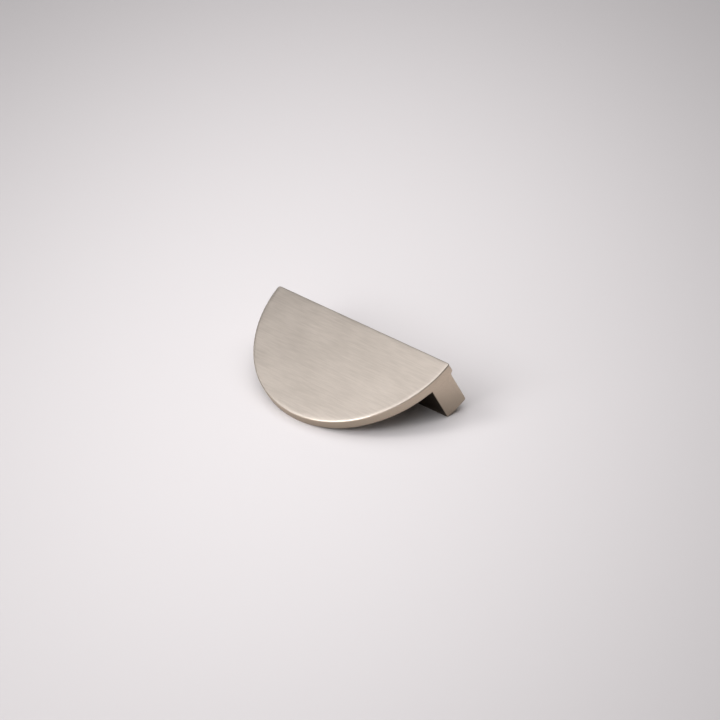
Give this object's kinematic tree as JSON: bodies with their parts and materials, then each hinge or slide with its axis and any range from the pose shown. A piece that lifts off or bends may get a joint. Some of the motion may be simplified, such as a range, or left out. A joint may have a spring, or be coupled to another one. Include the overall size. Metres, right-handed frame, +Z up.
{
  "type": "cabinet pull",
  "caption": "Half-moon cabinet pull: a flat semicircular plate with a straight leg behind its flat edge that screws to a drawer or door front.",
  "frame": {"origin": "centre of the mounting face, half way between the two screw holes", "axes": "+Z up the drawer front, +X along the straight edge, +Y out of the mounting face into the drawer front, so the half-moon face looks along -Y"},
  "size_m": [0.08, 0.0188, 0.04],
  "materials": {
    "satin_nickel": "warm satin nickel plate with a fine brushed grain, over die-cast zinc"
  },
  "bodies": {
    "root": {"pull": "satin_nickel"}
  },
  "joints": []
}
